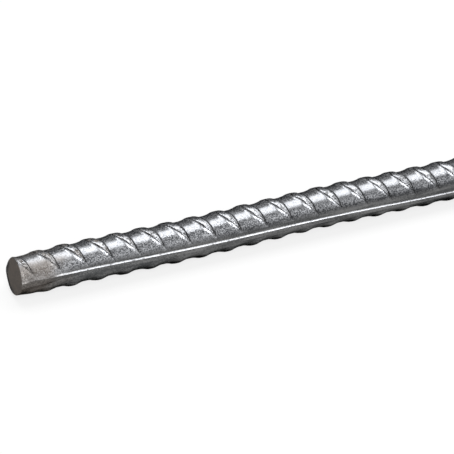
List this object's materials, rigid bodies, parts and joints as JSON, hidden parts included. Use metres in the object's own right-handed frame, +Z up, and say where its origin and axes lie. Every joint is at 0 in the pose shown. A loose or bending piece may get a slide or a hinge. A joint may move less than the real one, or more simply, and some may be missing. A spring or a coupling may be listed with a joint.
{
  "type": "reinforcing bar",
  "caption": "Straight hot-rolled steel reinforcing bar, round core with longitudinal and slanted transverse ribs, sawn square, to be tied and cast into concrete.",
  "frame": {"origin": "on the bar's axis at mid-length", "axes": "+X along the bar away from the near sawn end, +Y towards one longitudinal rib, +Z up"},
  "size_m": [0.6096, 0.0136, 0.012],
  "materials": {
    "mill_scale_steel": "hot-rolled blue-grey mill scale, half bright on the worn ridges, dusty brown next to the sawn end"
  },
  "bodies": {
    "root": {"reinforcing_bar": "mill_scale_steel"}
  },
  "joints": []
}
